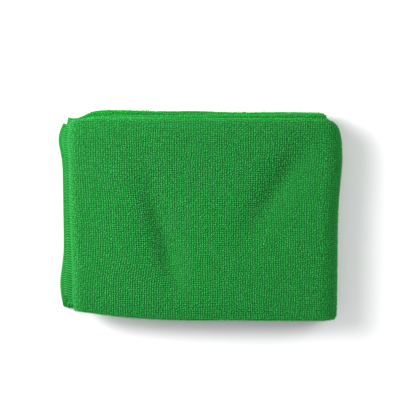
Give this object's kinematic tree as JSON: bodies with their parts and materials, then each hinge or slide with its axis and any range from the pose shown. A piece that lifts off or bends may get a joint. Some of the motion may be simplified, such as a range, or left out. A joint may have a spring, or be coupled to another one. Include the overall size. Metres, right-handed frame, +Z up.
{
  "type": "folded microfiber hand towel",
  "caption": "Green microfiber terry hand towel for drying hands and wiping, folded into a flat rectangular packet that lies face up.",
  "frame": {"origin": "middle of the outline of the face that the folded towel lies on", "axes": "+X along the folded length towards the thick outer fold, +Y across the towel towards the folds that stand out behind, +Z up, out of the face"},
  "size_m": [0.1866, 0.1402, 0.0247],
  "materials": {
    "green_terry": "matt green microfiber terry with short dense loops in fine ribs"
  },
  "bodies": {
    "root": {"towel": "green_terry"}
  },
  "joints": []
}
